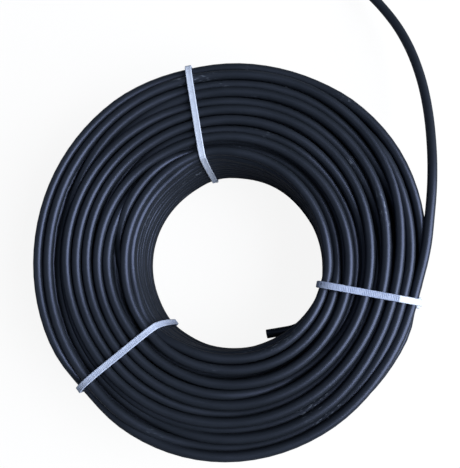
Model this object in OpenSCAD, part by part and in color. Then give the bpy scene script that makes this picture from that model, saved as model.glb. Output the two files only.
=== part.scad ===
// Coil of thin soaker hose, held by three cable ties, with both hose ends free.
// Origin: on the floor, on the axis of the coil. +Z is the coil's axis, +X points to the side where
// the outer end leaves, +Y is the way it runs. All lengths are in millimetres, angles in degrees.

/* [Hose] */
// Outside diameter of the hose
hose_od = 6.35; // [5.5:0.05:7.5]
// Bore of the hose
hose_id = 4.3; // [2.5:0.1:4.8]

/* [Coil] */
// Clear diameter of the hole through the coil
eye_d = 128.6; // [110:0.2:180]
// Rows of turns across the coil's face
rows = 11; // [9:1:13]
// Levels of turns from the floor to the coil's face
levels = 10; // [8:1:12]
// Spacing of the rows, as a part of the hose diameter, because turns settle into each other's grooves
row_nest = 0.945; // [0.92:0.005:1]
// Direction in which the wound turns begin, at the inner end
turns_start = -34; // [-40:1:-28]
// Direction in which the outer end leaves the last turn
turns_end = -6; // [-8:1:-2]
// Clearance between the shown turns and the hidden ones under them
turn_gap = 0.3; // [0.2:0.05:0.6]

/* [Hose ends] */
// Length of the straight piece at the inner end
inner_tip_len = 9; // [8:0.5:14]
// Radius of the bend by which the inner end leaves the coil's inner wall
inner_bend_r = 28; // [26:1:34]
// Angle of that bend
inner_bend_angle = 46.4; // [42:0.2:50]
// Length of the straight piece at the outer end
outer_tip_len = 14; // [10:1:30]

/* [Cable ties] */
// Width of the strap
strap_w = 4.6; // [3.6:0.1:6]
// Thickness of the strap
strap_t = 1.2; // [0.9:0.1:1.5]
// Clearance between a strap and the turns
strap_gap = 0.3; // [0.2:0.05:0.5]
// Clearance between a strap and the floor
strap_floor_gap = 0.2; // [0.1:0.05:0.4]
// Width of the head, across the strap
head_w = 8; // [6.5:0.5:9]
// Length of the head, along the strap
head_len = 7.6; // [6:0.2:9]
// How far the head stands out from the strap
head_out = 5; // [4:0.2:6]
// Height of the head's middle above the floor
head_z = 22; // [14:1:30]
// Length of trimmed tail that sticks out of the head
tail_out = 1.4; // [0.6:0.2:4]

/* [Hidden] */
$fn = 96;

HOSE_COLOR = [0.11, 0.12, 0.14];
CORE_COLOR = [0.16, 0.17, 0.19];
TIE_COLOR = [0.86, 0.89, 0.93];
OVERSHOOT = 1;                       // how far a cutting solid runs past the face that it cuts

// --- ties: direction of the strap's middle, its skew, and how far it draws the outer wall in
TIE_BACK = [101.8, -2.7, 0.7];
TIE_LEFT = [223.6, -3.8, 0.7];
TIE_RIGHT = [343.6, 5.5, 4.9];
TIES = [TIE_BACK, TIE_LEFT, TIE_RIGHT];
DRAW_SPREAD = 40;                    // a tie bends the turns this many degrees to each side

// --- sizes of the coil
hose_r = hose_od / 2;
eye_r = eye_d / 2;
first_row_r = eye_r + hose_r;
row_step = hose_od * row_nest;
last_row_r = first_row_r + row_step * (rows - 1);
coil_r = last_row_r + hose_r;
coil_h = hose_od * levels;
strap_seat = strap_floor_gap + strap_t + strap_gap;      // height of the hidden turns over a strap
bottom_z = strap_seat + 0.1 + hose_r;                    // centre of the lowest turn that shows
top_z = coil_h - hose_r;                                 // centre of the highest turns
groove_z = top_z - hose_r;                               // centre of the turns that lie in grooves

// --- the turns that show: one loop fewer each way than the hose has, so that they stay apart
LOOP_RINGS = 24;
LOOP_SIDES = 6;
face_rows = rows - 1;
wall_levels = levels - 1;
face_step = (last_row_r - first_row_r) / (face_rows - 1);
wall_step = (top_z - bottom_z) / (wall_levels - 1);
climb_turns = wall_levels - 1;
face_turns = face_rows - 1;
turns = climb_turns + face_turns + (turns_end - turns_start) / 360;
CLIMB = [0.5, 0.95];                 // the part of each turn in which it climbs a level
SHIFT = [0.1, 0.4];                  // the part of each turn in which it moves out by a row

// 0 before x = 0, 1 after x = 1, and a smooth step between
function smooth(x) = let (t = max(0, min(1, x))) t * t * (3 - 2 * t);

// Whole steps made after u turns, each made in the stated part of its turn
function steps(u, part) = floor(u) + smooth((u - floor(u) - part[0]) / (part[1] - part[0]));

// Smallest turn from direction b to direction a, from -180 to 180
function apart(a, b) = let (d = (a - b) % 360) d > 180 ? d - 360 : (d < -180 ? d + 360 : d);

// How far the ties draw the outermost row in, in direction a
function drawn_in(a) = max([for (tie = TIES)
    let (d = apart(a, tie[0])) abs(d) < DRAW_SPREAD ? tie[2] * pow(cos(90 * d / DRAW_SPREAD), 2) : 0]);

// Turns that lie in a groove: every second row, but not the outer two
function in_groove(row) = row % 2 == 1 && row < face_rows - 2 ? 1 : 0;

// Height of the face's turns, v turns after the first one on the face
function face_z(v) = let (row = min(floor(v), face_turns), next = min(row + 1, face_turns),
                          move = row == next ? 0 : smooth((v - row - SHIFT[0]) / (SHIFT[1] - SHIFT[0])))
    top_z - (top_z - groove_z) * (in_groove(row) * (1 - move) + in_groove(next) * move);

// Centre of the hose, u turns after the wound part begins
function coil_point(u) = let (a = turns_start + 360 * u, v = max(0, u - climb_turns),
                              row = min(face_turns, steps(v, SHIFT)),
                              r = first_row_r + face_step * row - drawn_in(a) * row / face_turns,
                              z = u < climb_turns ? bottom_z + wall_step * steps(u, CLIMB) : face_z(v))
    [r * cos(a), r * sin(a), z];

// Heading of the hose in plan, u turns after the wound part begins
function coil_heading(u) = let (e = 0.001, d = coil_point(u + e) - coil_point(u - e)) atan2(d[1], d[0]);

// Rings of a tube: corners round a centre, square to a heading in plan and a slope
function tube_ring(p, heading, slope, r, sides) =
    let (side = [sin(heading), -cos(heading), 0],
         up = [-cos(heading) * sin(slope), -sin(heading) * sin(slope), cos(slope)])
    [for (i = [0 : sides - 1]) let (a = 90 + 360 * i / sides) p + r * (cos(a) * side + sin(a) * up)];

// One closed tube through rings of the same number of corners
module tube(rings, sides) {
    count = len(rings);
    points = [for (ring = rings) for (p = ring) p];
    walls = [for (j = [0 : count - 2]) for (i = [0 : sides - 1])
        let (n = (i + 1) % sides, a = j * sides + i, b = j * sides + n, c = a + sides, d = b + sides)
        each [[a, c, b], [b, c, d]]];
    first_end = [for (i = [1 : sides - 2]) [0, i, i + 1]];
    last_end = [for (i = [1 : sides - 2]) let (o = (count - 1) * sides) [o, o + i + 1, o + i]];
    polyhedron(points, concat(walls, first_end, last_end));
}

// --- inner end: straight, then a bend that joins the first turn
bend_center = (first_row_r - inner_bend_r) * [cos(turns_start), sin(turns_start), 0] + [0, 0, bottom_z];
inner_heading = turns_start + 90 - inner_bend_angle;
inner_dir = [cos(inner_heading), sin(inner_heading), 0];
bend_start = bend_center + inner_bend_r * [sin(inner_heading), -cos(inner_heading), 0];
inner_joint = bend_start - hose_od * inner_dir;
INNER_BEND_RINGS = 4;

// --- the wound tube, from the joint at the inner end to the joint at the outer end
end_heading = coil_heading(turns);
end_dir = [cos(end_heading), sin(end_heading), 0];
outer_joint = coil_point(turns) + hose_od * end_dir;
last_ring = floor(turns * LOOP_RINGS);
loop_rings = [for (k = [0 : last_ring]) tube_ring(coil_point(k / LOOP_RINGS),
    coil_heading(max(k, 0.1) / LOOP_RINGS), 0, hose_r, LOOP_SIDES)];
inner_rings = concat([tube_ring(inner_joint, inner_heading, 0, hose_r, LOOP_SIDES)],
    [for (i = [0 : INNER_BEND_RINGS - 1]) let (h = inner_heading + inner_bend_angle * i / INNER_BEND_RINGS)
        tube_ring(bend_center + inner_bend_r * [sin(h), -cos(h), 0], h, 0, hose_r, LOOP_SIDES)]);
end_rings = [tube_ring(coil_point(turns), end_heading, 0, hose_r, LOOP_SIDES),
    tube_ring(outer_joint, end_heading, 0, hose_r, LOOP_SIDES)];
coil_rings = concat(inner_rings, loop_rings, end_rings);

// Least distance between the corners of a ring and those of the turn beside it
least_gap = min([for (k = [0 : last_ring - LOOP_RINGS]) for (p = loop_rings[k])
    for (q = loop_rings[k + LOOP_RINGS]) norm(p - q)]);
echo(least_gap_between_turns = least_gap);

// --- outer end: plan offsets from the joint, and height as a part of the joint's height over the floor
OUTER_RUN = [[8, 39, 0.98], [12, 78, 0.83], [12, 113, 0.63], [5, 144, 0.48], [-7, 178, 0.32],
             [-25, 206, 0.18], [-47, 229, 0.05]];
OUTER_TIP_AT = [-60, 240];
OUTER_TIP_HEADING = 138;
RUN_RINGS_A_STRETCH = 2;
RUN_SIDES = 10;
outer_dir = [cos(OUTER_TIP_HEADING), sin(OUTER_TIP_HEADING), 0];
tip_joint = [outer_joint[0] + OUTER_TIP_AT[0], outer_joint[1] + OUTER_TIP_AT[1], hose_r];
run_knots = concat([outer_joint - 30 * end_dir, outer_joint],
    [for (p = OUTER_RUN) [outer_joint[0] + p[0], outer_joint[1] + p[1],
                          hose_r + (outer_joint[2] - hose_r) * p[2]]],
    [tip_joint, tip_joint + 18 * outer_dir]);

// Smooth curve through the knots: place at t on the stretch that starts at knot i, and its direction
function knot_slope(i) = (run_knots[i + 1] - run_knots[i - 1]) / 2;
function run_point(i, t) = let (a = run_knots[i], b = run_knots[i + 1])
    (2 * t * t * t - 3 * t * t + 1) * a + (t * t * t - 2 * t * t + t) * knot_slope(i)
    + (3 * t * t - 2 * t * t * t) * b + (t * t * t - t * t) * knot_slope(i + 1);
function run_slope(i, t) = let (a = run_knots[i], b = run_knots[i + 1])
    (6 * t * t - 6 * t) * (a - b) + (3 * t * t - 4 * t + 1) * knot_slope(i)
    + (3 * t * t - 2 * t) * knot_slope(i + 1);
function run_ring(i, t) = let (d = run_slope(i, t))
    tube_ring(run_point(i, t), atan2(d[1], d[0]), atan2(d[2], norm([d[0], d[1]])), hose_r, RUN_SIDES);
run_stretches = len(run_knots) - 3;
run_rings = concat(
    [tube_ring(outer_joint, end_heading, 0, hose_r, RUN_SIDES)],
    [for (i = [1 : run_stretches]) for (k = [0 : RUN_RINGS_A_STRETCH - 1])
        if (i > 1 || k > 0) run_ring(i, k / RUN_RINGS_A_STRETCH)],
    [tube_ring(tip_joint, OUTER_TIP_HEADING, 0, hose_r, RUN_SIDES)]);

// --- ties, in a plane of their own: x runs outwards through the strap's middle, y is up
strap_mid_r = (first_row_r + last_row_r) / 2;

// Distance along a skewed strap from its middle to a round wall of radius r
function to_wall(r, skew) = sqrt(r * r - pow(strap_mid_r * sin(skew), 2)) - strap_mid_r * cos(skew);

// How much nearer to that wall the edge of the strap comes
function edge_room(r, skew) = strap_w / 2 * tan(asin(strap_mid_r * sin(abs(skew)) / r));

function strap_in(tie) = to_wall(eye_r - strap_gap, tie[1]) - edge_room(eye_r, tie[1]);
function strap_out(tie) = to_wall(coil_r - tie[2] + strap_gap, tie[1]) + edge_room(coil_r, tie[1]);
strap_low = strap_floor_gap + strap_t;
strap_high = coil_h + strap_gap;
strap_corner_r = hose_r + strap_gap;

// Rectangle from (x0, y0) to (x1, y1) with corners of radius r
module rounded_box(x0, y0, x1, y1, r) {
    translate([x0 + r, y0]) square([x1 - x0 - 2 * r, y1 - y0]);
    translate([x0, y0 + r]) square([x1 - x0, y1 - y0 - 2 * r]);
    for (x = [x0 + r, x1 - r], y = [y0 + r, y1 - r]) translate([x, y]) circle(r);
}

// Carries a solid drawn in a tie's plane to the tie's place; its width lies across the strap
module in_tie_plane(tie, width) {
    rotate([0, 0, tie[0]]) translate([strap_mid_r, 0, 0]) rotate([0, 0, tie[1]]) rotate([90, 0, 0])
        translate([0, 0, -width / 2]) linear_extrude(width) children();
}

module strap_loop(tie) {
    difference() {
        rounded_box(strap_in(tie) - strap_t, strap_floor_gap, strap_out(tie) + strap_t,
            strap_high + strap_t, strap_corner_r + strap_t);
        rounded_box(strap_in(tie), strap_low, strap_out(tie), strap_high, strap_corner_r);
    }
}

// The tail comes up the wall, turns outwards through the slot in the head and is cut off there
SLOT_ROOM = 0.35;                    // between the tail and the slot's lower wall and sides
SLOT_DEPTH = 3.6;
SLOT_UNDER_MID = 0.8;                // the slot lies this far under the head's middle
PAWL_REACH = 0.9;
module tie_head(tie) {
    face_x = strap_out(tie) + strap_t;
    slot_y = head_z - SLOT_UNDER_MID;
    difference() {
        in_tie_plane(tie, head_w) translate([face_x - strap_t / 2, head_z - head_len / 2])
            square([head_out + strap_t / 2, head_len]);
        in_tie_plane(tie, strap_w + 2 * SLOT_ROOM)
            translate([face_x + head_out - SLOT_DEPTH, slot_y - strap_t / 2 - SLOT_ROOM])
                square([SLOT_DEPTH + OVERSHOOT, strap_t + PAWL_REACH + SLOT_ROOM]);
    }
    in_tie_plane(tie, strap_w) translate([face_x, slot_y - strap_t / 2])
        square([head_out + tail_out, strap_t]);
    in_tie_plane(tie, strap_w - 2 * SLOT_ROOM) polygon([
        [face_x + head_out - SLOT_DEPTH, slot_y + strap_t / 2],
        [face_x + head_out - SLOT_DEPTH / 2, slot_y + strap_t / 2],
        [face_x + head_out - SLOT_DEPTH / 3, slot_y + strap_t / 2 + PAWL_REACH],
        [face_x + head_out - SLOT_DEPTH, slot_y + strap_t / 2 + PAWL_REACH]]);
}

module cable_tie(tie) {
    color(TIE_COLOR) {
        in_tie_plane(tie, strap_w) strap_loop(tie);
        tie_head(tie);
    }
}

// Channel that a strap presses into the underside of the hidden turns
module strap_channel(tie) {
    far = coil_r - strap_mid_r + OVERSHOOT;
    in_tie_plane(tie, strap_w + 2 * strap_gap)
        translate([-far, -OVERSHOOT]) square([2 * far, strap_seat + OVERSHOOT]);
}

// --- sub-parts
core_r = first_row_r + hose_r + turn_gap;
core_h = groove_z - hose_r - turn_gap;
CORE_STEP = 3;                       // angle between the corners of its outline
core_outline = [for (a = [0 : CORE_STEP : 360 - CORE_STEP])
    (coil_r - drawn_in(a)) * [cos(a), sin(a)]];

// The turns that are hidden inside the coil, as one plain ring that the ties draw in
module hose_core() {
    color(CORE_COLOR) difference() {
        linear_extrude(core_h) polygon(core_outline);
        translate([0, 0, -OVERSHOOT]) cylinder(h = core_h + 2 * OVERSHOOT, r = core_r);
        for (tie = TIES) strap_channel(tie);
    }
}

// The turns that show: up the inner wall, then outwards over the face
module hose_coil() {
    color(HOSE_COLOR) tube(coil_rings, LOOP_SIDES);
}

// The free outer stretch, from the last turn down to the floor
module hose_outer_run() {
    color(HOSE_COLOR) tube(run_rings, RUN_SIDES);
}

// Straight piece of hose with its open bore, from a joint along a heading
module hose_tip(joint, heading, length) {
    color(HOSE_COLOR) translate(joint) rotate([0, 0, heading]) rotate([0, 90, 0]) difference() {
        cylinder(h = length, r = hose_r);
        translate([0, 0, -OVERSHOOT]) cylinder(h = length + 2 * OVERSHOOT, r = hose_id / 2);
    }
}

module hose_outer_tip() {
    hose_tip(tip_joint, OUTER_TIP_HEADING, outer_tip_len);
}

module hose_inner_tip() {
    hose_tip(inner_joint, inner_heading + 180, inner_tip_len);
}

module tie_back() {
    cable_tie(TIE_BACK);
}

module tie_left() {
    cable_tie(TIE_LEFT);
}

module tie_right() {
    cable_tie(TIE_RIGHT);
}

hose_core();
hose_coil();
hose_outer_run();
hose_outer_tip();
hose_inner_tip();
tie_back();
tie_left();
tie_right();
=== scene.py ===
"""Coil of thin irrigation hose held by cable ties, dressed on its CAD frame.

Units are metres. Sizes are written in millimetres and multiplied by MM; angles are in degrees,
counted anticlockwise from +X as seen from above.
"""

from collections import namedtuple

import bpy
import numpy as np
from bpy.props import FloatProperty, FloatVectorProperty, PointerProperty
from bpy.types import Operator, Panel, PropertyGroup
from mathutils import Matrix, Vector


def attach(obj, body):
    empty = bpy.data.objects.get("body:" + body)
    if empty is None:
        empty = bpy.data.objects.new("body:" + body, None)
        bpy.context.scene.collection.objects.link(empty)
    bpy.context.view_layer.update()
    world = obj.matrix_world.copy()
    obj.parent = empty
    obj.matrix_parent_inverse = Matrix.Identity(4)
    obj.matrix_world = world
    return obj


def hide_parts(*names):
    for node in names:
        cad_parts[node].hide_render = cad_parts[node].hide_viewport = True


bl_info = {
    "name": "Coiled Irrigation Hose",
    "version": (1, 0, 0),
    "blender": (4, 5, 0),
    "location": "3D View > Sidebar > Hose Coil",
    "description": "Builds a tied coil of thin irrigation hose and the studio round it",
    "category": "Object",
}

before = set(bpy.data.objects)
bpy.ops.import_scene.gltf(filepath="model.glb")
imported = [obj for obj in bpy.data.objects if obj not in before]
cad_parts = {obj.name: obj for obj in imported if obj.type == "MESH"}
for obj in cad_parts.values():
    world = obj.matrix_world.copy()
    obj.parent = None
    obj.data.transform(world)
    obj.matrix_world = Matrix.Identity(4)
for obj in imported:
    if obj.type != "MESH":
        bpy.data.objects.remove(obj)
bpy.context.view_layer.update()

MM = 0.001
BODY = "root"

# --- the hose and its winding, in millimetres and degrees
HOSE_D = 6.35
BORE_D = 4.3
HOSE_R = HOSE_D / 2
ROWS = 11
LEVELS = 10                      # turns in a row that is wound upwards
LOOSE_LEVELS = 7                 # turns in a row that is wound downwards, between two such rows
TOP_Z = HOSE_D * LEVELS - HOSE_R
FLOOR_Z = HOSE_R
SIDES = 16                       # sides of the hose's section
TURNS_START = -34.0              # where the inner end joins the innermost row
TURNS_END = 345.0                # where the outer end leaves the outermost row
LEVEL_TURN = 350                 # angle set aside for each level that a hidden row climbs or sinks
CLIMB_PAUSE = 150                # angle before a row's climb, and after it until its run comes up
SINK_PAUSE = 120                 # angle from where a run sinks to where its row goes on down
ROW_PAUSE = 190                  # angle from where that row is down to where the next one starts

# The face is made of six runs of hose. Each comes up in one row, goes round on the top, crosses
# to the next row, goes round again and sinks; the last one leaves as the outer end.
# For each: its first angle, where it comes up, where it sinks, and its radius every 30 degrees
RUN_STEP = 30
RUNS = [
    (210, 225, 905, [66.4, 66.5, 67.5, 69.0, 68.0, 65.9, 65.2, 66.3, 68.4, 68.4, 66.9, 67.3, 70.1,
                     73.1, 74.6, 76.0, 74.8, 72.0, 71.4, 72.1, 73.4, 74.8, 74.0, 73.9, 74.2]),
    (120, 158, 865, [80.2, 79.4, 79.7, 79.9, 81.6, 83.5, 84.6, 82.3, 79.4, 78.1, 77.9, 78.7, 80.0,
                     83.7, 86.1, 86.9, 88.8, 90.2, 89.9, 86.8, 84.3, 83.6, 83.7, 84.2, 85.6, 86.7]),
    (0, 30, 725, [88.8, 88.5, 89.8, 90.4, 91.1, 93.0, 93.8, 93.9, 95.3, 96.5, 95.5, 93.8, 93.0,
                  95.5, 97.5, 97.4, 98.3, 99.9, 100.8, 100.8, 102.1, 102.2, 100.6, 98.3, 98.0]),
    (0, 32, 715, [100.6, 101.2, 103.3, 103.5, 105.4, 107.6, 108.2, 107.6, 108.4, 107.4, 105.5,
                  102.9, 103.0, 107.6, 109.9, 109.8, 110.4, 111.0, 111.5, 111.6, 112.7, 112.1,
                  110.8, 106.8, 107.3]),
    (0, 32, 772, [111.3, 112.9, 115.7, 115.6, 115.7, 114.3, 114.9, 115.6, 116.9, 117.3, 115.7,
                  110.6, 111.4, 118.9, 122.3, 121.9, 122.8, 121.6, 120.8, 121.8, 123.6, 123.2,
                  120.4, 116.6, 118.0, 121.5]),
    (0, 4, None, [125.4, 128.2, 128.2, 127.9, 129.1, 129.0, 128.3, 128.3, 128.7, 128.1, 125.3,
                  122.2, 125.4]),
]
# Where a run has settled between its neighbours: run, from, to, and how much further it lies
SETTLED = [
    (0, 703, 835, 5.0),
    (0, 885, 960, 3.0),
    (1, 595, 880, 0.0),
    (1, 648, 762, 3.6),
    (2, 575, 760, 1.0),
    (3, 20, 110, 0.0),
    (3, 470, 740, 0.0),
    (4, 20, 105, 0.0),
    (4, 150, 262, 1.8),
    (4, 605, 680, 0.0),
    (5, 5, 248, 0.8),
]
SETTLE_WIDTH = 40.0              # angle over which a run settles or comes back
CROSS_WIDTH = 90.0               # angle over which a hidden turn changes its row
STEP_WIDTH = 65.0                # angle over which a run comes up or sinks by its last level
RISE_WIDTH = 80.0                # angle over which a turn that comes up takes on its run's radius
SINK_WIDTH = 60.0                # angle over which a run that sinks goes back to its row's
SINK_LAG = 15.0                  # how far behind the place where it sinks that is

# The walls: radius of the eye's, least radius of the outer one, and their bulges. Each bulge is how
# far out it goes, its angle and its width
EYE_WALL_R = 65.4
EYE_BULGES = [(-0.9, 35, 25), (-0.6, 160, 30), (0.8, 240, 25), (1.9, 330, 24)]
OUTER_WALL_R = 124.3
OUTER_BULGES = [(0.5, 337, 7), (0.7, 224, 9)]
OUTER_SHIFT = 3.0                # twice what is added to that least radius at angle 0
OUTER_SHIFT_END = 20             # angle by which that has faded
WALL_NEST = 0.3                  # how far the hidden turns of the outer wall lie behind the run on it

# Slow waves that make no two turns lie quite alike: how far, how many to a turn, and the phase
SWAYS_OUT = [(0.22, 0.37, 1.1), (0.16, 1.31, 4.0), (0.10, 3.73, 2.2), (0.06, 7.19, 0.4)]
SWAYS_UP = [(0.16, 0.43, 2.9), (0.12, 1.57, 0.7), (0.07, 4.21, 5.1)]
SWAY_EASE = 90.0                 # angle over which they set in
FACE_CALM = 0.8                  # share by which they fade on the face
START_EASE = 70.0                # angle over which the first turn takes on the eye's wall
EVENING = 6                      # degrees to each side over which heights are evened out
PINCH = (0.9, 346, 9)            # how far the outer runs are drawn in, where, and how widely
PINCH_FROM = 106                 # radius from which runs are drawn in
PINCH_OVER = 12                  # and how much farther out they are so in full
FINE_STEP = 4                    # degrees between rings where a turn may show
COARSE_STEP = 12                 # and where it is hidden

# --- the inner end: its bend, the radius of the turn that it joins, its height, and its straight tip
BEND_R = 28.0
BEND_ANGLE = 46.4
FIRST_R = 67.475
INNER_Z = 4.975
INNER_TIP = 9.0

# --- the outer end: plan position and height of the points that it runs through
OUTER_POINTS = np.array([
    (126.8, 0.0, 60.3),
    (130.2, 21.0, 60.0),
    (133.3, 45.0, 56.8),
    (135.0, 70.0, 50.2),
    (134.9, 98.0, 41.6),
    (132.0, 123.5, 35.0),
    (125.8, 149.0, 28.0),
    (115.9, 173.0, 20.9),
    (98.8, 199.4, 13.5),
    (76.8, 222.4, 6.03),
    (63.75, 233.37, 3.175),
])
OUTER_HEADING = 138.0            # direction of its straight tip
OUTER_TIP = 14.0
OUTER_STEPS = 8                  # points to each stretch between those

# --- the ties
STRAP_MID = 97.479               # radius of the middle of a strap
EYE_R = 63.0                     # radius of the eye where a strap lies in it
COIL_R = 130.657                 # radius of the coil there, less what the tie draws in
STRAP_W = 4.4
STRAP_T = 1.2
STRAP_GAP = 0.3                  # between a strap and the turns
STRAP_FLOOR = 0.2                # between a strap and the floor
ARC_R = HOSE_R + STRAP_GAP + STRAP_T / 2        # of a strap's middle line, round a turn
STRAP_LEVELS = [1, 0.92, 0.84, 0.75, 0.65, 0.5, 0.3]    # where a strap bends on the eye's wall
HEAD_W = 8.0
HEAD_LEN = 7.6
HEAD_OUT = 5.0
ROOT_RISE = 1.0                  # how far over the head's middle the strap's face side starts
SLOT_DROP = 0.8                  # and how far under it the strap goes through the head
SLOT_TURN = 1.5                  # radius of the bend by which the strap turns into the slot
TAIL_OUT = 1.4
TOOTH_PITCH = 1.1
TOOTH_DEPTH = 0.36
CHANNEL_DEPTH = 0.38
STRAP_STEP = TOOTH_PITCH / 4     # spacing of a strap's rings

# How the turns lie beside a tie: each is the angle to both sides of it over which
FALL_WIDTH = 9.5                 # the edges of the face are pressed down
SHOULDER_WIDTH = 16.0            # the eye's wall leans back
CLEAR_WIDTH = 12.0               # no turn stands nearer the eye than the strap
PRESS_WIDTH = 9.0                # the lowest turns are lifted off the strap, by
PRESS_LIFT = 2.1
EYE_NIP_WIDTH = 11.0             # the eye's wall stands back from the strap, by
EYE_NIP = 0.8
OUTER_NIP_WIDTH = 5.5            # and the outer wall is nipped in by the tie's own nip


def fading(most, reach):
    """Points of the fall most * exp(-distance / reach), as distance from the wall and fall."""
    near = np.array([0, 1, 2, 3.5, 5, 7, 10, 14, 18, 24])
    return np.column_stack([near, most * np.exp(-near / reach)])


# angle and skew: direction of the strap's middle, and how far it is turned there
# draw and nip: how far the strap and the turns under it draw in at the outer wall
# root: length of the smooth part by the head
# head_z: height of the head's middle
# lean: how far the foot stands to one side
# foot and back: how far the strap leans back on the eye's wall, evenly and as a round shoulder
# milk: share of the toothed strap painted in the paler root colour, from 0 to 1, as painted light on
# the ties that lie brighter
# wall_fall and eye_fall: how the face falls towards the outer wall and towards the eye
Tie = namedtuple("Tie", "angle skew draw nip root head_z lean foot back milk wall_fall eye_fall")
# each tie's painted whitening is painted light: a paler strap on the ties that lie brighter in the
# light
TIES = {
    "tie_back": Tie(angle=102.05, skew=-2.7, draw=-0.5, nip=0.4, root=28.0, head_z=22.0, lean=-0.8,
                    foot=2.0, back=1.8, milk=0.65,
                    wall_fall=fading(1.8, 4.5), eye_fall=fading(2.0, 3.2)),
    "tie_left": Tie(angle=223.15, skew=-4.6, draw=-1.4, nip=0.4, root=28.0, head_z=22.0, lean=1.4,
                    foot=0.0, back=3.0, milk=0.30,
                    wall_fall=fading(7.0, 5.8), eye_fall=fading(5.5, 3.6)),
    "tie_right": Tie(angle=344.1, skew=5.0, draw=4.2, nip=1.8, root=61.0, head_z=11.0, lean=-3.2,
                     foot=0.0, back=1.2, milk=0.0,
                     wall_fall=np.array([(0, 3.8), (10.5, 0)]), eye_fall=fading(4.5, 3.4)),
}

# --- the stage, in metres
CAMERA_PLACE = Vector((0.060, -0.048, 0.4973))
CAMERA_TARGET = Vector((0.003, 0.013, 0.0603))
SENSOR_W = 36.0
# For each lamp: azimuth, elevation, distance, width and height
LAMPS = {
    "window": (-10, 38, 2.0, 2.0, 1.8),
    "overhead": (10, 70, 2.0, 1.4, 1.4),
    "fill": (175, 35, 2.0, 2.6, 1.6),
}
LAMP_TARGET = np.array([0, 0, 0.04])
LAMP_COLOUR = (0.90, 0.94, 1.0)
FLOOR_GREY = 0.18                # of the floor, as the coil sees it
FLOOR_PALE = 0.95                # and as the camera does
FLOOR_FADE = (0.25, 1.2)         # distances between which the floor turns to pure white


# ---------------------------------------------------------------- small maths

def smooth(x):
    """0 before 0, 1 after 1, and 3x^2 - 2x^3 between."""
    x = np.clip(x, 0, 1)
    return x * x * (3 - 2 * x)


def apart(a, b):
    """Signed smallest turn from b to a, in degrees."""
    return (np.asarray(a) - b + 180) % 360 - 180


def bump(angle, centre, width):
    """exp(-(d / width)^2), with d the turn from centre to angle."""
    return np.exp(-(apart(angle, centre) / width) ** 2)


def at_ties(angle, width, most=None):
    """Sum of bumps at the ties, each as high as asked or 1."""
    most = most or [1] * len(TIES)
    return sum(high * bump(angle, tie.angle, width) for high, tie in zip(most, TIES.values()))


def bulging(angle, bulges):
    """Sum of bumps, each with its height, its centre and its width."""
    return sum(most * bump(angle, centre, width) for most, centre, width in bulges)


def waving(turns, waves):
    """Sum of sines, each with its height, its number to a turn and its phase."""
    return sum(most * np.sin(2 * np.pi * many * turns + phase) for most, many, phase in waves)


def unit(v):
    """Vectors of length 1 in the same directions."""
    return v / np.linalg.norm(v, axis=-1, keepdims=True)


def hermite(knots, starts, ends, t):
    """Points at t on cubic stretches between knots, with the given slopes at both ends of each."""
    i = np.minimum(t.astype(int), len(knots) - 2)
    x = (t - i)[:, None]
    a, b, p, q = knots[i], knots[i + 1], starts[i], ends[i]
    return ((2 * x**3 - 3 * x**2 + 1) * a + (x**3 - 2 * x**2 + x) * p
            + (3 * x**2 - 2 * x**3) * b + (x**3 - x**2) * q)


# ---------------------------------------------------------------- meshes

def make_mesh(name, points, faces, slots, slot_of=None):
    """A smooth object at the origin, from points in millimetres and a list of arrays of faces."""
    mesh = bpy.data.meshes.new(name)
    lists = [f.tolist() for f in faces]
    mesh.from_pydata((np.asarray(points) * MM).tolist(), [], [f for group in lists for f in group])
    mesh.polygons.foreach_set("use_smooth", np.full(len(mesh.polygons), True))
    for material in slots:
        mesh.materials.append(material)
    if slot_of is not None:
        mesh.polygons.foreach_set("material_index", np.asarray(slot_of, dtype=np.int32))
    mesh.validate()
    mesh.update()
    made = bpy.data.objects.new(name, mesh)
    bpy.context.scene.collection.objects.link(made)
    return made


def add_layer(made, name, kind, values):
    """Stores a value, or a vector, for each point of an object's mesh."""
    layer = made.data.attributes.new(name, kind, "POINT")
    layer.data.foreach_set("value" if kind == "FLOAT" else "vector", np.ravel(values))


def grid_faces(rows, columns, first=0, closed=False):
    """Quads of a grid of points whose columns run round, and whose rows close too if asked."""
    i = np.arange(rows if closed else rows - 1)[:, None]
    j = np.arange(columns)[None, :]
    a = i * columns + j
    b = i * columns + (j + 1) % columns
    c = ((i + 1) % rows) * columns + (j + 1) % columns
    d = ((i + 1) % rows) * columns + j
    return first + np.stack([a, d, c, b], -1).reshape(-1, 4)


# ---------------------------------------------------------------- the hose

def spline(values, x):
    """Smooth curve through values at 0, 1, 2 and so on: cubics whose slopes are central differences."""
    v = np.asarray(values, float)
    slope = np.gradient(v)[:, None]
    return hermite(v[:, None], slope[:-1], slope[1:], x)[:, 0]


def run_radius(run, angle):
    """Radius of a run at an angle counted on from its first one."""
    first, _, _, radii = RUNS[run]
    return spline(radii, np.clip((angle - first) / RUN_STEP, 0, len(radii) - 1 - 1e-9))


def face_radius(row, angle):
    """Radius of a row's top turn: the first round of its run in an even row, the second in an odd."""
    run, second = divmod(row, 2)
    first = RUNS[run][0]
    return run_radius(run, first + (angle - first) % 360 + 360 * second)


def wall_radius(row, angle):
    """Radius of the hidden turns of a row, which lie evenly between the inner and the outer wall."""
    inner = EYE_WALL_R + bulging(angle, EYE_BULGES) + at_ties(angle, EYE_NIP_WIDTH) * EYE_NIP
    around = angle % 360
    least = OUTER_WALL_R + OUTER_SHIFT * smooth((OUTER_SHIFT_END - around) / (2 * OUTER_SHIFT_END))
    outer = np.maximum(run_radius(len(RUNS) - 1, around), least) + bulging(angle, OUTER_BULGES)
    nip = at_ties(angle, OUTER_NIP_WIDTH, [tie.nip for tie in TIES.values()])
    return inner + (outer - WALL_NEST - nip - inner) * row / (ROWS - 1)


def shoulder(tie, level):
    """How far the eye's wall leans back at a tie, at a level from 0 to 1."""
    return tie.back * level**4 + tie.foot * level


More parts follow.
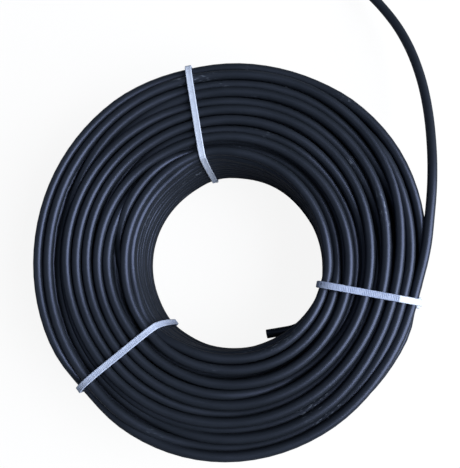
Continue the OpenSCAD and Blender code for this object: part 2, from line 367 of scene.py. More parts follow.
def tie_fall(radius, angle, level):
    """How far the turns near the top are pressed down beside the ties, as the straps fall."""
    total = np.zeros_like(angle)
    for tie in TIES.values():
        outer = np.interp(COIL_R - tie.draw - HOSE_R - radius, *tie.wall_fall.T)
        inner = np.interp(radius - EYE_R - tie.foot * level - HOSE_R, *tie.eye_fall.T)
        total = total + (outer * level**2 + inner * level**4) * bump(angle, tie.angle, FALL_WIDTH)
    return total


def settling(run, angle):
    """How far a run lies below the face: sqrt(d^2 - gap^2), for the nearer row beside it."""
    first = RUNS[run][0]
    row = 2 * run + (angle > first + 360)
    here = run_radius(run, angle)
    gap = np.full_like(angle, HOSE_D)
    for near in range(ROWS):
        beside = abs(row - near) == 1
        gap = np.where(beside, np.minimum(gap, abs(here - face_radius(near, angle))), gap)
    drop = np.sqrt(HOSE_D**2 - gap**2)
    settled, deeper = np.zeros_like(angle), np.zeros_like(angle)
    for start, end, more in [place[1:] for place in SETTLED if place[0] == run]:
        share = smooth((angle - start) / SETTLE_WIDTH + 0.5)
        share = share * (1 - smooth((angle - end) / SETTLE_WIDTH + 0.5))
        settled = np.maximum(settled, share)
        deeper = deeper + more * share
    return drop * settled + deeper


def winding_marks():
    """Where the hose changes level and row, where it runs over the face, and where it ends.

    Levels run from 0 on the floor to 1 at the top. Each mark is a start, an end and a change.
    """
    levels, rows, runs = [], [], []
    at = TURNS_START
    up, down = 1 / (LEVELS - 1), 1 / (LOOSE_LEVELS - 1)
    for _, rise, sink, _ in RUNS:
        climbed = at + CLIMB_PAUSE + (LEVELS - 1) * LEVEL_TURN
        turn = 360 * np.ceil((climbed - rise) / 360)
        levels.append((at + CLIMB_PAUSE, turn + rise - CLIMB_PAUSE, 1 - up))
        levels.append((turn + rise - STEP_WIDTH / 2, turn + rise + STEP_WIDTH / 2, up))
        runs.append((turn, turn + rise, turn + sink if sink else np.inf))
        if sink:
            rows.append(turn + rise + 360)
            levels.append((turn + sink - STEP_WIDTH / 2, turn + sink + STEP_WIDTH / 2, -down))
            sinks = turn + sink + SINK_PAUSE
            sunk = sinks + (LOOSE_LEVELS - 2) * LEVEL_TURN
            levels.append((sinks, sunk, down - 1))
            at = sunk + ROW_PAUSE
            rows.append(at)
    return levels, rows, runs, turn + TURNS_END


def level_and_row(angle, levels, rows):
    """Level and row all along the winding: steps on to the face and off it are smooth, not ramps."""
    level = np.zeros_like(angle)
    for start, end, change in levels:
        x = np.clip((angle - start) / (end - start), 0, 1)
        level = level + change * (smooth(x) if end - start < 2 * STEP_WIDTH else x)
    return level, sum(smooth((angle - at) / CROSS_WIDTH + 0.5) for at in rows)


def on_the_face(angle, radius, runs):
    """Radius with the runs blended in, how far they settle, and the share that is on the face."""
    drop, face = np.zeros_like(angle), np.zeros_like(angle)
    for run, (turn, rise, sink) in enumerate(runs):
        share = smooth((angle - rise) / RISE_WIDTH + 0.5)
        if np.isfinite(sink):
            share = share * (1 - smooth((angle - sink - SINK_LAG) / SINK_WIDTH + 0.5))
        radius = radius + (run_radius(run, angle - turn) - radius) * share
        drop = drop + settling(run, angle - turn) * share
        face = face + share
    return radius, drop, face


def leaning_back(angle, radius, level, inner_share):
    """Radius where the eye's wall leans back at the ties, as their straps do."""
    for tie in TIES.values():
        back = shoulder(tie, level)
        radius = radius + back * bump(angle, tie.angle, SHOULDER_WIDTH) * inner_share
        short = np.clip(EYE_R + HOSE_R + back - radius, 0, None)
        radius = radius + short * bump(angle, tie.angle, CLEAR_WIDTH)
    return radius


def evened(height):
    """Heights averaged under a raised cosine."""
    window = np.hanning(2 * EVENING + 3)[1:-1] / (EVENING + 1)
    return np.convolve(np.pad(height, EVENING, mode="edge"), window, mode="valid")


def may_show(height, row):
    """Whether a turn lies near the face or the floor, or in the innermost or the outermost row."""
    return (height > TOP_Z - 9) | (height < FLOOR_Z + 1) | (row < 0.9) | (row > ROWS - 1.5)


def wound_part():
    """Centre line of the turns.

    A hidden turn keeps to its row's radius, and its height is a sum of ramps. A run over the face
    has its own radius and settles between its neighbours. Slow sines of odd periods, fading out on
    the face, make no two turns lie quite alike.
    """
    levels, rows, runs, end = winding_marks()
    angle = np.arange(TURNS_START, end, 1.0)
    level, row = level_and_row(angle, levels, rows)
    radius, drop, face = on_the_face(angle, wall_radius(row, angle), runs)
    radius = leaning_back(angle, radius, level, (1 - face) * smooth(1 - row))
    calm = smooth((angle - TURNS_START) / SWAY_EASE) * (1 - FACE_CALM * face)
    low = 1 - level
    height = FLOOR_Z + (TOP_Z - FLOOR_Z) * level - drop - tie_fall(radius, angle, level)
    height = height + waving(angle / 360, SWAYS_UP) * calm * (1 - low**4)
    height = height + PRESS_LIFT * low**2 * at_ties(angle, PRESS_WIDTH) * (1 - face)
    height = evened(np.clip(height, FLOOR_Z, TOP_Z))
    pinch = bulging(angle, [PINCH]) * smooth((radius - PINCH_FROM) / PINCH_OVER) * face
    radius = radius + waving(angle / 360, SWAYS_OUT) * calm - pinch
    ease = smooth((angle - TURNS_START) / START_EASE)
    radius = FIRST_R + (radius - FIRST_R) * ease
    height = INNER_Z + (height - INNER_Z) * ease
    a = np.radians(angle)
    points = np.stack([radius * np.cos(a), radius * np.sin(a), height], -1)
    steps = np.where(may_show(height, row), FINE_STEP, COARSE_STEP)
    keep = np.arange(len(angle)) % steps == 0
    keep[-1] = True
    return points[keep]


def inner_end():
    """Straight piece, then an arc of radius BEND_R that runs into the first turn."""
    start = np.radians(TURNS_START)
    heading = np.radians(TURNS_START + 90 - BEND_ANGLE)
    centre = (FIRST_R - BEND_R) * np.array([np.cos(start), np.sin(start)])
    h = np.linspace(heading, start + np.pi / 2, 15)[:-1]
    arc = centre + BEND_R * np.stack([np.sin(h), -np.cos(h)], -1)
    along = np.array([np.cos(heading), np.sin(heading)])
    back = np.array([HOSE_D + INNER_TIP, HOSE_D, HOSE_D / 2])
    straight = arc[0] - back[:, None] * along
    plan = np.concatenate([straight, arc])
    return np.column_stack([plan, np.full(len(plan), INNER_Z)])


def outer_end(last, heading):
    """Smooth curve from the last turn through OUTER_POINTS, ending in a straight piece.

    Of the first stretch, which still lies on the coil, only the last two points are kept.
    """
    knots = np.concatenate([[last], OUTER_POINTS])
    chord = np.linalg.norm(np.diff(knots, axis=0), axis=1)
    slope = np.zeros_like(knots)
    slope[1:-1] = (knots[2:] - knots[:-2]) / (chord[1:] + chord[:-1])[:, None]
    slope[0] = heading
    out = np.radians(OUTER_HEADING)
    slope[-1] = np.array([np.cos(out), np.sin(out), 0])
    t = np.arange(OUTER_STEPS - 2, OUTER_STEPS * (len(knots) - 1)) / OUTER_STEPS
    run = hermite(knots, slope[:-1] * chord[:, None], slope[1:] * chord[:, None], t)
    tip = knots[-1] + np.array([0, OUTER_TIP / 2, OUTER_TIP])[:, None] * slope[-1]
    return np.concatenate([run, tip])


def hose_line():
    """The whole centre line, from the inner end to the outer end."""
    turns = wound_part()
    heading = unit(turns[-1] - turns[-2])
    return np.concatenate([inner_end(), turns, outer_end(turns[-1], heading)])


def hose_rings(line, sides):
    """Rings round the line: p + r (cos a * side + sin a * up), with side square to tangent and Z.

    At both ends the rings turn in over a slightly rounded edge, across the cut and down the bore.
    Each pair of edge is a distance from the end and a radius. Also gives where each point lies on
    the skin, unrolled from the bends, and the number of rings in an end.
    """
    tangent = unit(np.gradient(line, axis=0))
    tangent[0] = unit(line[1] - line[0])
    tangent[-1] = unit(line[-1] - line[-2])
    length = np.r_[0, np.cumsum(np.linalg.norm(np.diff(line, axis=0), axis=1))]
    edge = np.array([(8.0, BORE_D / 2), (0.1, BORE_D / 2), (0.0, BORE_D / 2 + 0.08),
                     (0.0, HOSE_R - 0.22), (0.06, HOSE_R - 0.07), (0.2, HOSE_R)])
    head = line[0] + edge[:, :1] * tangent[0]
    tail = line[-1] - edge[::-1, :1] * tangent[-1]
    centre = np.concatenate([head, line[1:-1], tail])
    radius = np.r_[edge[:, 1], np.full(len(line) - 2, HOSE_R), edge[::-1, 1]]
    count = len(edge)
    along = np.concatenate([np.repeat(tangent[:1], count, 0), tangent[1:-1],
                            np.repeat(tangent[-1:], count, 0)])
    place = np.r_[edge[:, 0], length[1:-1], length[-1] - edge[::-1, 0]]
    side = unit(np.cross(along, [0, 0, 1.0]))
    up = np.cross(side, along)
    a = 2 * np.pi * np.arange(sides) / sides
    ring = (np.cos(a)[None, :, None] * side[:, None] + np.sin(a)[None, :, None] * up[:, None])
    points = centre[:, None] + radius[:, None, None] * ring
    skin = np.stack([radius[:, None] * np.cos(a), radius[:, None] * np.sin(a),
                     np.repeat(place[:, None], sides, 1)], -1)
    return points, skin, count


def build_hose(sides):
    """The hose as one closed mesh, and its centre line in metres."""
    line = hose_line()
    points, skin, count = hose_rings(line, sides)
    rings = len(points)
    walls = grid_faces(rings, sides)
    caps = [np.arange(sides)[None, :], (np.arange(sides)[::-1] + (rings - 1) * sides)[None, :]]
    ring_of = np.repeat(np.arange(rings - 1), sides)
    cut = (ring_of < count - 2) | (ring_of > rings - count)
    slot_of = np.r_[cut, True, True].astype(int)
    made = make_mesh("hose", points.reshape(-1, 3), [walls, *caps],
                     slots=[hose_skin(), hose_cut()], slot_of=slot_of)
    add_layer(made, "skin", "FLOAT_VECTOR", skin * MM)
    return made, line * MM


# ---------------------------------------------------------------- the ties

def wall_at(radius, skew):
    """Distance along a skewed strap from its middle to a round wall."""
    a = np.radians(skew)
    return np.sqrt(radius**2 - (STRAP_MID * np.sin(a)) ** 2) - STRAP_MID * np.cos(a)


def edge_room(radius, skew):
    """Room that a strap's edges need where it goes over a round wall at a slant."""
    slant = np.arcsin(STRAP_MID * np.sin(np.radians(abs(skew))) / radius)
    return STRAP_W / 2 * np.tan(slant)


def held_points(left, right, tie):
    """Centres of the arcs of a strap, from the head over the face, down the eye and back."""
    shoulder_end = tie.back + 0.5
    held = [(right, tie.head_z + ROOT_RISE)]
    held += [(right - inside, TOP_Z - fall) for inside, fall in tie.wall_fall]
    held += [(left + tie.foot + inside, TOP_Z - fall) for inside, fall in tie.eye_fall[::-1]
             if inside > shoulder_end]
    for level in STRAP_LEVELS:
        fall = np.interp(tie.back * level**4, *tie.eye_fall.T) * level**4
        height = FLOOR_Z + (TOP_Z - FLOOR_Z) * level - fall
        held.append((left + shoulder(tie, level), height))
    low = STRAP_FLOOR + STRAP_T / 2 + ARC_R
    held += [(left, low), (right, low), (right, tie.head_z - SLOT_DROP - SLOT_TURN)]
    return np.array(held)


def arc(start, end, count):
    """Unit vectors from one angle to another, in radians."""
    sweep = np.linspace(start, end, count)
    return np.stack([np.cos(sweep), np.sin(sweep)], -1)


def wrapped(held):
    """Straight pieces square to their normals, joined by arcs of ARC_R round the held points."""
    along = unit(np.diff(held, axis=0))
    square = np.stack([along[:, 1], -along[:, 0]], -1)
    facing = np.unwrap(np.arctan2(square[:, 1], square[:, 0]))
    xy, normal = [], []
    for k, out in enumerate(square):
        start, end = held[k] + ARC_R * out, held[k + 1] + ARC_R * out
        count = max(2, int(np.linalg.norm(end - start) / STRAP_STEP))
        xy.append(start + (end - start) * np.arange(count)[:, None] / count)
        normal.append(np.repeat(out[None, :], count, 0))
        if k + 1 < len(square):
            count = max(2, int(ARC_R * (facing[k + 1] - facing[k]) / STRAP_STEP) + 1)
            around = arc(facing[k], facing[k + 1], count)[:-1]
            xy.append(held[k + 1] + ARC_R * around)
            normal.append(around)
    return xy, normal


def strap_path(inner, outer, tie):
    """Middle line of a strap in its own plane, its outward normal, and the length along it.

    It runs from the head up the outer wall, over the face, down the eye, under the coil, up the
    outer wall and out through the head. Also gives the share of its teeth, from 0 to 1, which
    begin at the end of the root and stop 1 mm before the tail's end.
    """
    wall = outer + STRAP_T / 2
    xy, normal = wrapped(held_points(inner - STRAP_T / 2 + ARC_R, wall - ARC_R, tie))
    slot_z = tie.head_z - SLOT_DROP
    start, end = wall + SLOT_TURN, outer + STRAP_T + HEAD_OUT + TAIL_OUT
    around = arc(np.pi, np.pi / 2, 8)
    xy.append(np.array([start, slot_z - SLOT_TURN]) + SLOT_TURN * around)
    normal.append(-around)
    tail = np.linspace(start + STRAP_STEP, end, 1 + int((end - start) / STRAP_STEP))
    xy.append(np.column_stack([tail, np.full(len(tail), slot_z)]))
    normal.append(np.repeat([[0.0, -1.0]], len(tail), 0))
    xy, normal = np.concatenate(xy), np.concatenate(normal)
    length = np.r_[0, np.cumsum(np.linalg.norm(np.diff(xy, axis=0), axis=1))]
    toothed = smooth((length - tie.root) / 1.5) * smooth(length[-1] - 1.0 - length)
    return xy, normal, length, toothed


def strap_points(xy, normal, length, toothed):
    """Section of a strap carried along its path, with saw teeth in a shallow channel.

    A section is the right half and its mirror image. Each of its points is how far it lies across
    and outwards, and whether it is in the channel. By the head the strap is up to half wider.
    """
    half, thick = STRAP_W / 2, STRAP_T / 2
    right = np.array([(0.5, thick, 1), (half - 1.0, thick, 1), (half - 0.5, thick, 0),
                      (half - 0.14, thick - 0.2, 0), (half, thick - 0.55, 0),
                      (half, 0.3 - thick, 0), (half - 0.3, -thick, 0)])
    left = right[::-1] * [-1, 1, 1]
    across, out, channel = np.roll(np.concatenate([left, right]), -2, axis=0).T
    saw = 1 - (length / TOOTH_PITCH) % 1
    sink = toothed * (CHANNEL_DEPTH - TOOTH_DEPTH * saw)
    wide = 1 + 0.5 * np.exp(-length / 2.5)
    w = across[None, :] * wide[:, None]
    h = out[None, :] - sink[:, None] * channel[None, :]
    return np.concatenate([xy[:, None, :] + normal[:, None, :] * h[..., None], w[..., None]], -1)


def rounded(half_y, half_w, radius, count):
    """Points round a rectangle with round corners, count to each corner."""
    quarter = np.linspace(0, 90, count)
    a = np.radians(np.concatenate([quarter + 90 * k for k in range(4)]))
    y_side = np.repeat([1, -1, -1, 1], count)
    w_side = np.repeat([1, 1, -1, -1], count)
    return (y_side * (half_y - radius) + radius * np.cos(a),
            w_side * (half_w - radius) + radius * np.sin(a))


def head_points(face, head_z):
    """The head: round-cornered loops carried out, over the front, through the slot and back.

    Each loop is how far out it lies, half its height and width, its corners' radius and its middle's
    height. The slot's own are slot_y, slot_w and slot_z.
    """
    back, front = face - STRAP_T / 2, face + HEAD_OUT
    slot_y, slot_w, slot_z = 1.35, STRAP_W / 2 + 0.35, head_z - SLOT_DROP + 0.45
    loops = [
        (back, HEAD_LEN / 2 - 0.5, HEAD_W / 2 - 0.5, 0.9, head_z),
        (back + 0.5, HEAD_LEN / 2, HEAD_W / 2, 1.2, head_z),
        (front - 1.0, HEAD_LEN / 2, HEAD_W / 2, 1.2, head_z),
        (front - 0.35, HEAD_LEN / 2 - 0.12, HEAD_W / 2 - 0.12, 1.2, head_z),
        (front - 0.08, HEAD_LEN / 2 - 0.4, HEAD_W / 2 - 0.4, 1.1, head_z),
        (front, HEAD_LEN / 2 - 0.8, HEAD_W / 2 - 0.8, 0.9, head_z),
        (front, slot_y + 0.45, slot_w + 0.35, 0.5, slot_z),
        (front - 0.4, slot_y, slot_w, 0.3, slot_z),
        (back + 0.3, slot_y, slot_w, 0.3, slot_z),
        (back, slot_y + 0.3, slot_w + 0.2, 0.4, slot_z),
    ]
    points = []
    for x, half_y, half_w, radius, z in loops:
        y, w = rounded(half_y, half_w, radius, 6)
        points.append(np.stack([np.full_like(y, x), y + z, w], -1))
    return np.array(points)


def pawl_points(face, head_z):
    """The catch in the slot: a wedge with three small teeth, as a section carried across."""
    front = face + HEAD_OUT
    x = front - np.array([4.2, 0.9, 1.2, 1.2, 1.9, 1.9, 2.6, 2.6, 3.3])
    y = head_z - SLOT_DROP + np.array([1.75, 1.75, 0.9, 0.66, 0.95, 0.66, 0.95, 0.66, 1.0])
    w = np.array([-1.7, 1.7])
    return np.stack([np.tile(x, (2, 1)), np.tile(y, (2, 1)), np.repeat(w[:, None], len(x), 1)], -1)


def shells(parts):
    """Points and faces of shells: grids of rings, each of them closed on itself or capped."""
    points, faces, first = [], [], 0
    for grid, closed in parts:
        rings, around = grid.shape[:2]
        faces.append(grid_faces(rings, around, first, closed))
        if not closed:
            faces.append(first + np.arange(around)[None, :])
            faces.append(first + (rings - 1) * around + np.arange(around)[None, ::-1])
        points.append(grid.reshape(-1, 3))
        first += rings * around
    return np.concatenate(points), faces


def placed(local, tie):
    """Points given as outwards, up and sideways from the middle of a tie, in the coil's frame."""
    a, b = np.radians(tie.angle), np.radians(tie.angle + tie.skew)
    outwards = np.array([np.cos(b), np.sin(b), 0])
    sideways = np.array([np.sin(b), -np.cos(b), 0])
    middle = STRAP_MID * np.array([np.cos(a), np.sin(a), 0])
    return (middle + local[:, :1] * outwards + local[:, 1:2] * [0, 0, 1.0]
            + local[:, 2:] * sideways)


def build_tie(name):
    """A tie as one mesh of three closed shells: the strap, the head and the catch in its slot."""
    tie = TIES[name]
    inner = wall_at(EYE_R - STRAP_GAP, tie.skew) - edge_room(EYE_R, tie.skew)
    outer = wall_at(COIL_R - tie.draw + STRAP_GAP, tie.skew) + edge_room(COIL_R, tie.skew)
    path = strap_path(inner, outer, tie)
    strap = strap_points(*path)
    head = head_points(outer + STRAP_T, tie.head_z)
    pawl = pawl_points(outer + STRAP_T, tie.head_z)
    local, faces = shells([(strap, False), (head, True), (pawl, False)])
    local[:, 2] += tie.lean * (1 - local[:, 1] / TOP_Z)
    made = make_mesh(name + "_moulding", placed(local, tie), faces, slots=[tie_nylon()])
    add_layer(made, "strap", "FLOAT_VECTOR", local * MM)
    toothed = np.repeat(path[-1], strap.shape[1])
    plain = np.ones(len(local))
    # the paler colour's share: the root and head, and each tie's painted whitening as painted light
    # over its toothed strap
    plain[:len(toothed)] = np.maximum(1 - toothed, tie.milk)
    add_layer(made, "plain", "FLOAT", plain)
    return made


# ---------------------------------------------------------------- shader building

class Maths:
    """A shader value: arithmetic on it adds Math nodes to its tree."""

    def __init__(self, nodes, socket):
        self.nodes = nodes
        self.socket = socket

    def _with(self, operation, *others):
        """A Math node's result from this value and others."""
        values = [self, *others]
        return self.nodes.add("ShaderNodeMath", {"operation": operation}, *values)

    def __add__(self, other):
        return self._with("ADD", other)

    __radd__ = __add__

    def __sub__(self, other):
        return self._with("SUBTRACT", other)

    def __mul__(self, other):
        return self._with("MULTIPLY", other)

    def over(self, low, high):
        """0 below low, 1 above high, and straight between."""
        settings = {"clamp": True}
        return self.nodes.add("ShaderNodeMapRange", settings, self, low, high)


class Shader:
    """Builds one material's nodes."""

    def __init__(self, name):
        self.material = bpy.data.materials.new(name)
        self.material.use_nodes = True
        self.tree = self.material.node_tree
        self.tree.nodes.clear()

    def add(self, kind, settings=None, *values, output=0, **sockets):
        """Adds a node, sets it up, fills its sockets in order or by name, and gives an output."""
        node = self.tree.nodes.new(kind)
        for key, value in (settings or {}).items():
            setattr(node, key, value)
        for key, value in [*enumerate(values), *sockets.items()]:
            socket = node.inputs[key] if isinstance(key, int) else node.inputs[key.replace("_", " ")]
            if isinstance(value, Maths):
                self.tree.links.new(value.socket, socket)
            elif value is not None:
                socket.default_value = value
        return Maths(self, node.outputs[output]) if node.outputs else None

    def blend(self, share, a, b):
        """Colour a where share is 0, and b where it is 1."""
        node = self.tree.nodes.new("ShaderNodeMix")
        node.data_type = "RGBA"
        for socket, value in ((node.inputs[0], share), (node.inputs[6], a), (node.inputs[7], b)):
            if isinstance(value, Maths):
                self.tree.links.new(value.socket, socket)
            else:
                socket.default_value = (*value, 1) if socket.type == "RGBA" else value
        return Maths(self, node.outputs[2])

    def scaled(self, vector, factors):
        """Vector times factors, part by part."""
        return self.add("ShaderNodeVectorMath", {"operation": "MULTIPLY"}, vector, factors)

    def noise(self, place, scales, detail, rough):
        """Noise of about 0 to 1, with its own scale, in 1/m, along each axis of place."""
        return self.add("ShaderNodeTexNoise", {}, Vector=self.scaled(place, scales), Scale=1.0,
                        Detail=detail, Roughness=rough)

    def bump(self, height, distance, strength, normal=None):
        """Normal of a relief of that height, on top of another normal where one is given."""
        return self.add("ShaderNodeBump", {}, Strength=strength, Distance=distance, Height=height,
                        Normal=normal)

    def finish(self, **sockets):
        """The material, with a Principled surface of those sockets."""
        surface = self.add("ShaderNodeBsdfPrincipled", {}, **sockets)
        self.add("ShaderNodeOutputMaterial", {}, surface)
        return self.material


def named(name, maker):
    """The material of that name, made once."""
    found = bpy.data.materials.get(name)
    return found or maker(Shader(name))


def hose_skin():
    """Smooth black extruded skin: fine draw lines along it, slow mottling and a few pale rub marks,
    partly real wear and partly painted glints.
    """
    return named("hose_skin", _hose_skin)


def _hose_skin(s):
    look = bpy.context.scene.hose_look
    place = s.add("ShaderNodeAttribute", {"attribute_name": "skin"}, output="Vector")
    lines = s.noise(place, (1500, 1500, 5), 3.0, 0.6)
    mottle = s.noise(place, (120, 120, 35), 3.0, 0.55)
    grain = s.noise(place, (5200, 5200, 5200), 2.0, 0.6)
    # pale rub marks in scattered patches: partly real wear, partly painted glints standing for small
    # bright dashes along the highlights
    patches = s.noise(place, (40, 40, 16), 1.0, 0.5).over(0.62, 0.70)
    rubs_and_glints = s.noise(place, (900, 900, 260), 3.0, 0.6).over(0.58, 0.66) * patches
    colour = s.blend(mottle.over(0.3, 0.7), tuple(look.dark), tuple(look.light))
    # painted glints: the rub marks' pale colour is laid over the skin
    colour = s.blend(rubs_and_glints * 0.8, colour, tuple(look.rubbed_and_glinting))
    rough = look.roughness + (mottle - 0.5) * 0.10 + (lines - 0.5) * 0.05 + rubs_and_glints * 0.08
    bumps = s.bump(lines, 0.02 * MM, 0.35)
    bumps = s.bump(grain, 0.006 * MM, 0.3, bumps)
    return s.finish(Base_Color=colour, Roughness=rough, Normal=bumps, IOR=1.55,
                    Specular_Tint=(*look.sheen, 1))


def hose_cut():
    """Cut face and bore: duller, with knife marks."""
    return named("hose_cut", _hose_cut)


def _hose_cut(s):
    place = s.add("ShaderNodeAttribute", {"attribute_name": "skin"}, output="Vector")
    marks = s.noise(place, (900, 9000, 900), 2.0, 0.6)
    colour = s.blend(marks, (0.012, 0.013, 0.015), (0.024, 0.026, 0.030))
    return s.finish(Base_Color=colour, Roughness=0.5 + marks * 0.2,
                    Normal=s.bump(marks, 0.03 * MM, 0.5), IOR=1.5)


def tie_nylon():
    """Milky natural nylon: slightly cloudy, with faint flow marks along the strap, and paler on the
    root and head, partly thicker nylon and partly a painted highlight.
    """
    return named("tie_nylon", _tie_nylon)


def _tie_nylon(s):
    look = bpy.context.scene.tie_look
    place = s.add("ShaderNodeAttribute", {"attribute_name": "strap"}, output="Vector")
    cloud = s.noise(place, (220, 220, 420), 3.0, 0.6)
    flow = s.noise(place, (60, 60, 1600), 2.0, 0.5)
    plain = s.add("ShaderNodeAttribute", {"attribute_name": "plain"}, output="Fac")
    colour = s.blend(cloud.over(0.3, 0.7), tuple(look.clear), tuple(look.milky))
    # paler colour on the root and head: partly thicker nylon, partly a painted highlight; on the
    # toothed strap its share is each tie's painted whitening, which is painted light
    colour = s.blend(plain * 0.8, colour, tuple(look.thick))
    rough = look.roughness + (cloud - 0.5) * 0.12
    bumps = s.bump(flow, 0.02 * MM, 0.3)
    return s.finish(Base_Color=colour, Roughness=rough, Normal=bumps, IOR=1.53,
                    Subsurface_Weight=0.25, Subsurface_Radius=(1.0, 1.0, 1.0),
                    Subsurface_Scale=0.5 * MM)


def floor_white():
    """Plain white floor, brighter to the camera than as a reflector, and pure white far off."""
    return named("floor_white", _floor_white)


def _floor_white(s):
    look = bpy.context.scene.stage_look
    rays = s.add("ShaderNodeLightPath", {}, output="Is Camera Ray")
    place = s.add("ShaderNodeTexCoord", {}, output="Object")
    far = s.add("ShaderNodeVectorMath", {"operation": "LENGTH"}, place, output="Value")
    share = rays * (far.over(*FLOOR_FADE) * (1 - look.floor_glow) + look.floor_glow)
    grey = s.blend(rays, (FLOOR_GREY,) * 3, (FLOOR_PALE,) * 3)
    lit = s.add("ShaderNodeBsdfDiffuse", {}, Color=grey)
    glow = s.add("ShaderNodeEmission", {}, Color=(1, 1, 1, 1), Strength=1.0)
    mixed = s.add("ShaderNodeMixShader", {}, share, lit, glow)
    s.add("ShaderNodeOutputMaterial", {}, mixed)
    return s.material


# ---------------------------------------------------------------- the stage

def make_camera():
    """A camera above the coil, turned so that +Y runs up in its view."""
    data = bpy.data.cameras.new("camera")
    data.lens = bpy.context.scene.stage_look.lens
    data.sensor_width = SENSOR_W
    made = bpy.data.objects.new("camera", data)
    back = (CAMERA_PLACE - CAMERA_TARGET).normalized()
    right = Vector((0, 1, 0)).cross(back).normalized()
    made.matrix_world = Matrix((right, back.cross(right), back)).transposed().to_4x4()
    made.location = CAMERA_PLACE
    bpy.context.scene.collection.objects.link(made)
    bpy.context.scene.camera = made


def soft_lamp(name, azimuth, elevation, distance, width, height):
    """A rectangular lamp of even radiance that faces the coil: power = pi * area * radiance."""
    a, e = np.radians(azimuth), np.radians(elevation)
    towards = np.array([np.cos(a) * np.cos(e), np.sin(a) * np.cos(e), np.sin(e)])
    place = LAMP_TARGET + distance * towards
    radiance = getattr(bpy.context.scene.stage_look, name)
    data = bpy.data.lights.new(name, "AREA")
    data.shape = "RECTANGLE"
    data.size, data.size_y = width, height
    data.energy = float(np.pi * width * height * radiance)
    data.color = LAMP_COLOUR
    made = bpy.data.objects.new(name, data)
    made.location = place
    made.rotation_mode = "QUATERNION"
    made.rotation_quaternion = (Vector(LAMP_TARGET) - Vector(place)).to_track_quat("-Z", "Y")
    bpy.context.scene.collection.objects.link(made)


def make_world():
    """A dim, even sky that lights the coil, and a white one for the camera."""
    look = bpy.context.scene.stage_look
    world = bpy.data.worlds.new("studio")
    bpy.context.scene.world = world
    world.use_nodes = True
    tree = world.node_tree
    tree.nodes.clear()
    rays = tree.nodes.new("ShaderNodeLightPath")
    dim = tree.nodes.new("ShaderNodeBackground")
    dim.inputs["Color"].default_value = (*look.sky, 1)
    dim.inputs["Strength"].default_value = look.sky_level
    white = tree.nodes.new("ShaderNodeBackground")
    white.inputs["Color"].default_value = (1, 1, 1, 1)
    mixed = tree.nodes.new("ShaderNodeMixShader")
    out = tree.nodes.new("ShaderNodeOutputWorld")
    tree.links.new(rays.outputs["Is Camera Ray"], mixed.inputs[0])
    tree.links.new(dim.outputs[0], mixed.inputs[1])
    tree.links.new(white.outputs[0], mixed.inputs[2])
    tree.links.new(mixed.outputs[0], out.inputs[0])


def make_floor():
    """A plain square floor."""
    side = 3000.0
    points = np.array([(-side, -side, 0), (side, -side, 0), (side, side, 0), (-side, side, 0)])
    floor = make_mesh("floor", points, [np.array([[0, 1, 2, 3]])], slots=[floor_white()])


# ---------------------------------------------------------------- add-on

class HoseLook(PropertyGroup):
    dark: FloatVectorProperty(name="Dark", description="Darker colour of the hose's skin",
                              default=(0.0098, 0.0124, 0.0165), subtype="COLOR", min=0, max=1)
    light: FloatVectorProperty(name="Light", description="Lighter colour of the hose's skin",
                               default=(0.0142, 0.0175, 0.0238), subtype="COLOR", min=0, max=1)
    # pale colour of the rub marks: partly real wear, partly painted glints
    rubbed_and_glinting: FloatVectorProperty(name="Rubbed", description="Colour where turns have rubbed",
                                default=(0.12, 0.14, 0.18), subtype="COLOR", min=0, max=1)
    sheen: FloatVectorProperty(name="Sheen", description="Tint of the skin's highlights",
                               default=(0.54, 0.63, 1.0), subtype="COLOR", min=0, max=1)
    roughness: FloatProperty(name="Roughness", description="Roughness of the hose's skin",
                             default=0.38, min=0, max=1, subtype="FACTOR")


class TieLook(PropertyGroup):
    clear: FloatVectorProperty(name="Clear", description="Colour of the clearer nylon",
                               default=(0.30, 0.36, 0.53), subtype="COLOR", min=0, max=1)
    milky: FloatVectorProperty(name="Milky", description="Colour of the milkier nylon",
                               default=(0.38, 0.44, 0.61), subtype="COLOR", min=0, max=1)
    # paler colour of the root and head: partly thicker nylon, partly a painted highlight; it also
    # paints each tie's whitening
    thick: FloatVectorProperty(name="Thick", description="Colour of the thicker, plain root and head",
                               default=(0.62, 0.67, 0.76), subtype="COLOR", min=0, max=1)
    roughness: FloatProperty(name="Roughness", description="Roughness of the nylon",
                             default=0.38, min=0, max=1, subtype="FACTOR")


class StageLook(PropertyGroup):
    lens: FloatProperty(name="Lens", description="Focal length on a 36 mm sensor",
                        default=52.3, min=20, max=200, unit="CAMERA")
    sky: FloatVectorProperty(name="Sky", description="Colour of the light from all round",
                             default=(0.78, 0.90, 1.0), subtype="COLOR", min=0, max=1)
    sky_level: FloatProperty(name="Sky level", description="Strength of the light from all round",
                             default=0.11, min=0, max=2)
    window: FloatProperty(name="Window", description="Radiance of the soft lamp at the side",
                          default=8.0, min=0, max=30)
    overhead: FloatProperty(name="Overhead", description="Radiance of the soft lamp above",
                            default=0.5, min=0, max=30)
    fill: FloatProperty(name="Fill", description="Radiance of the soft lamp at the far side",
                        default=0.2, min=0, max=30)
    floor_glow: FloatProperty(name="Floor glow", description="Share of the floor shown as white",
                              default=0.90, min=0, max=1, subtype="FACTOR")


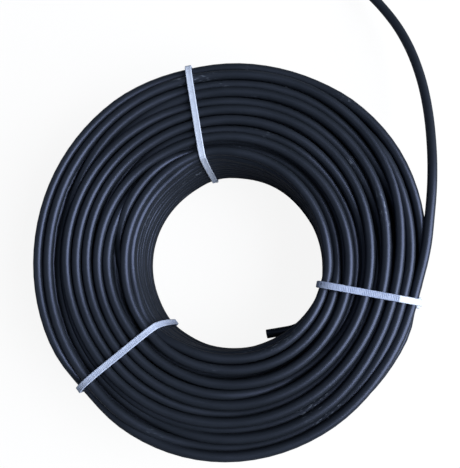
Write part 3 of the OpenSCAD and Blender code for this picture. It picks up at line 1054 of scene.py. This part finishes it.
class HOSE_OT_stage(Operator):
    """Makes the camera, the lamps, the sky and the floor"""

    bl_idname = "hose.stage"
    bl_label = "Make the stage"

    def execute(self, context):
        make_camera()
        make_world()
        for name, place in LAMPS.items():
            soft_lamp(name, *place)
        make_floor()
        context.scene.view_settings.view_transform = "Standard"
        return {"FINISHED"}


class HOSE_OT_hose(Operator):
    """Makes the hose, wound and cut, in one length"""

    bl_idname = "hose.hose"
    bl_label = "Make the hose"

    def execute(self, context):
        hose, line = build_hose(SIDES)
        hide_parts("hose_core", "hose_coil", "hose_outer_run", "hose_outer_tip",
                    "hose_inner_tip")
        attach(hose, BODY)
        return {"FINISHED"}


class HOSE_OT_ties(Operator):
    """Makes the cable ties, each one moulding with its head, teeth and tail"""

    bl_idname = "hose.ties"
    bl_label = "Make the ties"

    def execute(self, context):
        for name in TIES:
            tie = build_tie(name)
            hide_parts(name)
            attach(tie, BODY)
        return {"FINISHED"}


class HOSE_PT_panel(Panel):
    """Lists the looks and the makers"""

    bl_idname = "HOSE_PT_panel"
    bl_label = "Hose Coil"
    bl_space_type = "VIEW_3D"
    bl_region_type = "UI"
    bl_category = "Hose Coil"

    def draw(self, context):
        scene = context.scene
        for group in (scene.hose_look, scene.tie_look, scene.stage_look):
            box = self.layout.box()
            for key in group.__annotations__:
                box.prop(group, key)
        for maker in MAKERS:
            self.layout.operator(maker.bl_idname)


LOOKS = {"hose_look": HoseLook, "tie_look": TieLook, "stage_look": StageLook}
MAKERS = (HOSE_OT_stage, HOSE_OT_hose, HOSE_OT_ties)


def register():
    for kind in (*LOOKS.values(), *MAKERS, HOSE_PT_panel):
        bpy.utils.register_class(kind)
    for key, kind in LOOKS.items():
        setattr(bpy.types.Scene, key, PointerProperty(type=kind))


def unregister():
    for key in LOOKS:
        delattr(bpy.types.Scene, key)
    for kind in (HOSE_PT_panel, *MAKERS, *LOOKS.values()):
        bpy.utils.unregister_class(kind)


def main():
    """Builds the scene."""
    register()
    bpy.ops.hose.stage()
    bpy.ops.hose.hose()
    bpy.ops.hose.ties()


if __name__ == "__main__":
    main()
